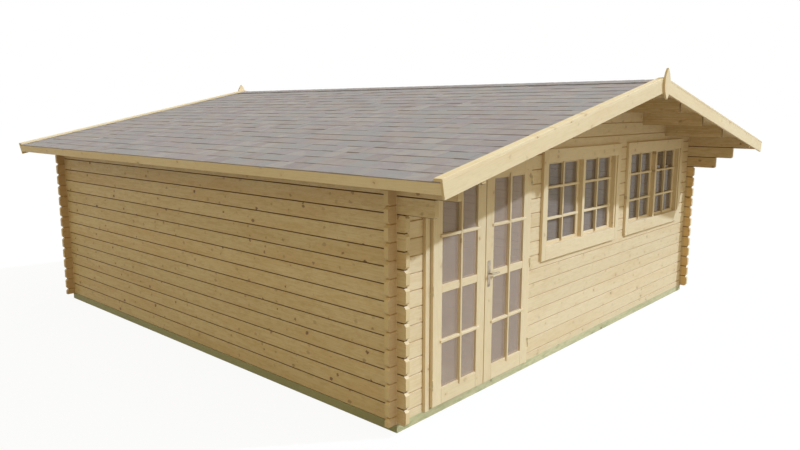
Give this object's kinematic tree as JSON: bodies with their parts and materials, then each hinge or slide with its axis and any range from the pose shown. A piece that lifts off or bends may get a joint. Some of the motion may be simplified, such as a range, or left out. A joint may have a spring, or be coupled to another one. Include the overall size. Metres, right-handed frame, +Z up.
{
  "type": "log cabin",
  "caption": "Garden log cabin of interlocking square logs with a low gable roof of shingles, glazed double doors that swing out, and a row of barred windows beside them.",
  "frame": {"origin": "underside of the foundation, at the middle of the rectangle that the four walls enclose", "axes": "+Z up, -Y towards the front with the doors and windows, +X to the right along the front seen from outside"},
  "size_m": [6.908, 6.995, 2.929],
  "materials": {
    "treated_wood": "pressure-treated, pale green",
    "floor_wood": "planed, untreated",
    "log_wood": "planed, untreated",
    "roof_wood": "planed, untreated",
    "shingle": "mineral-faced bitumen",
    "trim_wood": "planed, untreated",
    "glass": "clear",
    "hinge_steel": "zinc-plated",
    "handle_steel": "satin"
  },
  "bodies": {
    "cabin": {"foundation_beams": "treated_wood", "floor_joists": "treated_wood", "floor_boards": "floor_wood", "left_wall": "log_wood", "right_wall": "log_wood", "left_upper_logs": "log_wood", "right_upper_logs": "log_wood", "back_wall": "log_wood", "back_gable": "log_wood", "front_wall_left_of_door": "log_wood", "front_wall_door_to_window": "log_wood", "front_wall_below_windows": "log_wood", "front_wall_between_windows": "log_wood", "front_wall_right_of_windows": "log_wood", "front_gable": "log_wood", "ridge_beam": "log_wood", "purlins": "log_wood", "left_roof_boards": "roof_wood", "right_roof_boards": "roof_wood", "left_shingles": "shingle", "right_shingles": "shingle", "ridge_cap": "shingle", "left_eave_fascia": "trim_wood", "right_eave_fascia": "trim_wood", "front_bargeboards": "trim_wood", "back_bargeboards": "trim_wood", "verge_caps": "trim_wood", "front_finial": "trim_wood", "back_finial": "trim_wood", "door_frame": "trim_wood", "window_1_frame": "trim_wood", "window_1_sashes": "trim_wood", "window_2_frame": "trim_wood", "window_2_sashes": "trim_wood", "window_1_glass": "glass", "window_2_glass": "glass", "door_hinge_pins": "hinge_steel"},
    "left_door": {"left_door_leaf": "trim_wood", "left_door_glass": "glass", "left_door_hinges": "hinge_steel"},
    "right_door": {"right_door_leaf": "trim_wood", "right_door_glass": "glass", "right_door_hinges": "hinge_steel", "door_handle_plates": "handle_steel"},
    "lever": {"door_lever": "handle_steel"}
  },
  "joints": [
    {"name": "left_door_swing", "type": "hinge", "parent": "cabin", "child": "left_door", "pos_m": [-2.639, -3.048, 1.0945], "axis": [0, 0, -1], "range_deg": [0, 105]},
    {"name": "right_door_swing", "type": "hinge", "parent": "cabin", "child": "right_door", "pos_m": [-1.191, -3.048, 1.0945], "axis": [0, 0, 1], "range_deg": [0, 105]},
    {"name": "lever_turn", "type": "hinge", "parent": "right_door", "child": "lever", "pos_m": [-1.86, -3.019, 1.1075], "axis": [0, 1, 0], "range_deg": [0, 40], "stiffness_Nm_per_rad": 0.8, "springref_deg": -28.65}
  ]
}
